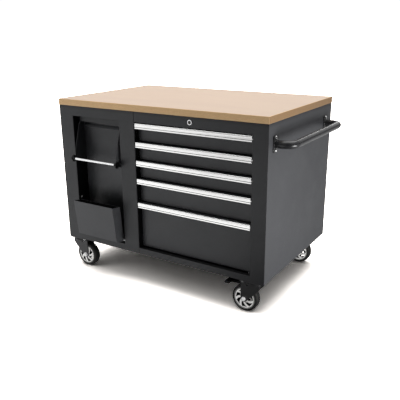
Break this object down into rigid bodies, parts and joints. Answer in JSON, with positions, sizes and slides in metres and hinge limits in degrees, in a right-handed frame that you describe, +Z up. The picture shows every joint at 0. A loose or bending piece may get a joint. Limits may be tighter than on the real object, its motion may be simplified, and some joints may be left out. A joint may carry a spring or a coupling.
{
  "type": "mobile workbench",
  "caption": "Wheeled workshop bench with a wooden worktop, drawers with full-width pulls, an open bay with roll holder and tilting bin, and a push handle.",
  "frame": {"origin": "middle of the footprint box on the floor, under the wheels", "axes": "+X along the front to the right, the side with the push handle; -Y the front with the drawers; +Z up"},
  "size_m": [1.2204, 0.775, 0.8745],
  "materials": {
    "wood_top": "clear lacquered multiplex, satin",
    "panel_coat": "fine textured powder coat, anthracite",
    "side_coat": "fine textured powder coat, anthracite",
    "inner_coat": "fine textured powder coat, anthracite",
    "drawer_coat": "fine textured powder coat, anthracite",
    "holder_coat": "powder coat, anthracite",
    "handle_coat": "powder coat, black",
    "pull_alu": "natural anodised, satin",
    "zinc": "bright zinc plated",
    "bolt_steel": "bright zinc plated",
    "lock_chrome": "polished nickel",
    "rod_chrome": "polished",
    "knob_plastic": "satin black",
    "pedal_black": "satin black",
    "caster_coat": "dark coated pressed steel",
    "rim_metal": "cast, satin",
    "tyre_rubber": "matt grey elastic rubber"
  },
  "bodies": {
    "cabinet": {"worktop": "wood_top", "left_side_panel": "side_coat", "right_side_panel": "side_coat", "back_panel": "side_coat", "base_panel": "inner_coat", "partition_panel": "inner_coat", "slide_liner": "inner_coat", "left_front_frame": "panel_coat", "right_front_frame": "panel_coat", "recess_tub": "inner_coat", "roll_bracket": "holder_coat", "push_handle": "handle_coat", "fixing_bolts": "bolt_steel", "lock_housing": "lock_chrome", "slide_outers": "zinc", "caster_plates": "caster_coat"},
    "drawer_1": {"drawer_1_tub": "drawer_coat", "drawer_1_pull": "pull_alu", "drawer_1_slide_inner": "zinc"},
    "slide_mid_1": {"drawer_1_slide_mid": "zinc"},
    "drawer_2": {"drawer_2_tub": "drawer_coat", "drawer_2_pull": "pull_alu", "drawer_2_slide_inner": "zinc"},
    "slide_mid_2": {"drawer_2_slide_mid": "zinc"},
    "drawer_3": {"drawer_3_tub": "drawer_coat", "drawer_3_pull": "pull_alu", "drawer_3_slide_inner": "zinc"},
    "slide_mid_3": {"drawer_3_slide_mid": "zinc"},
    "drawer_4": {"drawer_4_tub": "drawer_coat", "drawer_4_pull": "pull_alu", "drawer_4_slide_inner": "zinc"},
    "slide_mid_4": {"drawer_4_slide_mid": "zinc"},
    "drawer_5": {"drawer_5_tub": "drawer_coat", "drawer_5_pull": "pull_alu", "drawer_5_slide_inner": "zinc"},
    "slide_mid_5": {"drawer_5_slide_mid": "zinc"},
    "swivel_fl": {"caster_fl_fork": "caster_coat", "caster_fl_axle": "zinc"},
    "wheel_fl": {"caster_fl_rim": "rim_metal", "caster_fl_tyre": "tyre_rubber"},
    "swivel_fr": {"caster_fr_fork": "caster_coat", "caster_fr_axle": "zinc"},
    "wheel_fr": {"caster_fr_rim": "rim_metal", "caster_fr_tyre": "tyre_rubber"},
    "swivel_rl": {"caster_rl_fork": "caster_coat", "caster_rl_axle": "zinc"},
    "wheel_rl": {"caster_rl_rim": "rim_metal", "caster_rl_tyre": "tyre_rubber"},
    "swivel_rr": {"caster_rr_fork": "caster_coat", "caster_rr_axle": "zinc"},
    "wheel_rr": {"caster_rr_rim": "rim_metal", "caster_rr_tyre": "tyre_rubber"},
    "brake_fr": {"brake_pedal_fr": "pedal_black"},
    "brake_rr": {"brake_pedal_rr": "pedal_black"},
    "roll_bar": {"roll_rod": "rod_chrome", "roll_knobs": "knob_plastic"},
    "bin": {"waste_bin": "holder_coat"},
    "lock": {"lock_barrel": "lock_chrome", "lock_rod": "zinc"},
    "lock_bar": {"lock_bar": "zinc"}
  },
  "joints": [
    {"name": "drawer_1_slide", "type": "slide", "parent": "cabinet", "child": "drawer_1", "axis": [0, -1, 0], "range_m": [0, 0.55]},
    {"name": "slide_mid_1_slide", "type": "slide", "parent": "cabinet", "child": "slide_mid_1", "axis": [0, -1, 0], "range_m": [0, 0.275]},
    {"name": "drawer_2_slide", "type": "slide", "parent": "cabinet", "child": "drawer_2", "axis": [0, -1, 0], "range_m": [0, 0.55]},
    {"name": "slide_mid_2_slide", "type": "slide", "parent": "cabinet", "child": "slide_mid_2", "axis": [0, -1, 0], "range_m": [0, 0.275]},
    {"name": "drawer_3_slide", "type": "slide", "parent": "cabinet", "child": "drawer_3", "axis": [0, -1, 0], "range_m": [0, 0.55]},
    {"name": "slide_mid_3_slide", "type": "slide", "parent": "cabinet", "child": "slide_mid_3", "axis": [0, -1, 0], "range_m": [0, 0.275]},
    {"name": "drawer_4_slide", "type": "slide", "parent": "cabinet", "child": "drawer_4", "axis": [0, -1, 0], "range_m": [0, 0.55]},
    {"name": "slide_mid_4_slide", "type": "slide", "parent": "cabinet", "child": "slide_mid_4", "axis": [0, -1, 0], "range_m": [0, 0.275]},
    {"name": "drawer_5_slide", "type": "slide", "parent": "cabinet", "child": "drawer_5", "axis": [0, -1, 0], "range_m": [0, 0.55]},
    {"name": "slide_mid_5_slide", "type": "slide", "parent": "cabinet", "child": "slide_mid_5", "axis": [0, -1, 0], "range_m": [0, 0.275]},
    {"name": "swivel_fl", "type": "hinge", "parent": "cabinet", "child": "swivel_fl", "pos_m": [-0.55725, -0.2885, 0.1395], "axis": [0, 0, 1], "continuous": true},
    {"name": "wheel_fl", "type": "hinge", "parent": "swivel_fl", "child": "wheel_fl", "pos_m": [-0.52125, -0.2885, 0.0625], "axis": [0, 1, 0], "continuous": true},
    {"name": "swivel_fr", "type": "hinge", "parent": "cabinet", "child": "swivel_fr", "pos_m": [0.45075, -0.2885, 0.1395], "axis": [0, 0, 1], "continuous": true},
    {"name": "wheel_fr", "type": "hinge", "parent": "swivel_fr", "child": "wheel_fr", "pos_m": [0.41475, -0.2885, 0.0625], "axis": [0, 1, 0], "continuous": true},
    {"name": "swivel_rl", "type": "hinge", "parent": "cabinet", "child": "swivel_rl", "pos_m": [-0.55725, 0.3255, 0.1395], "axis": [0, 0, 1], "continuous": true},
    {"name": "wheel_rl", "type": "hinge", "parent": "swivel_rl", "child": "wheel_rl", "pos_m": [-0.52125, 0.3255, 0.0625], "axis": [0, 1, 0], "continuous": true},
    {"name": "swivel_rr", "type": "hinge", "parent": "cabinet", "child": "swivel_rr", "pos_m": [0.45075, 0.3255, 0.1395], "axis": [0, 0, 1], "continuous": true},
    {"name": "wheel_rr", "type": "hinge", "parent": "swivel_rr", "child": "wheel_rr", "pos_m": [0.41475, 0.3255, 0.0625], "axis": [0, 1, 0], "continuous": true},
    {"name": "brake_fr", "type": "hinge", "parent": "swivel_fr", "child": "brake_fr", "pos_m": [0.43075, -0.2885, 0.134], "axis": [0, -1, 0], "range_deg": [0, 8]},
    {"name": "brake_rr", "type": "hinge", "parent": "swivel_rr", "child": "brake_rr", "pos_m": [0.43075, 0.3255, 0.134], "axis": [0, -1, 0], "range_deg": [0, 8]},
    {"name": "roll_lift_out", "type": "slide", "parent": "cabinet", "child": "roll_bar", "axis": [0, 0, 1], "range_m": [0, 0.1]},
    {"name": "bin_tilt", "type": "hinge", "parent": "cabinet", "child": "bin", "pos_m": [-0.37795, -0.321, 0.2065], "axis": [1, 0, 0], "range_deg": [-15, 24]},
    {"name": "lock_turn", "type": "hinge", "parent": "cabinet", "child": "lock", "pos_m": [0.15375, -0.3225, 0.8208], "axis": [0, -1, 0], "range_deg": [0, 90]},
    {"name": "lock_bar_shift", "type": "slide", "parent": "cabinet", "child": "lock_bar", "axis": [1, 0, 0], "range_m": [0, 0.01698]}
  ],
  "couplings": [
    {"joint": "slide_mid_1_slide", "follows": "drawer_1_slide", "ratio": 0.5},
    {"joint": "slide_mid_2_slide", "follows": "drawer_2_slide", "ratio": 0.5},
    {"joint": "slide_mid_3_slide", "follows": "drawer_3_slide", "ratio": 0.5},
    {"joint": "slide_mid_4_slide", "follows": "drawer_4_slide", "ratio": 0.5},
    {"joint": "slide_mid_5_slide", "follows": "drawer_5_slide", "ratio": 0.5},
    {"joint": "lock_turn", "follows": "lock_bar_shift", "rad_per_m": 92.5}
  ]
}
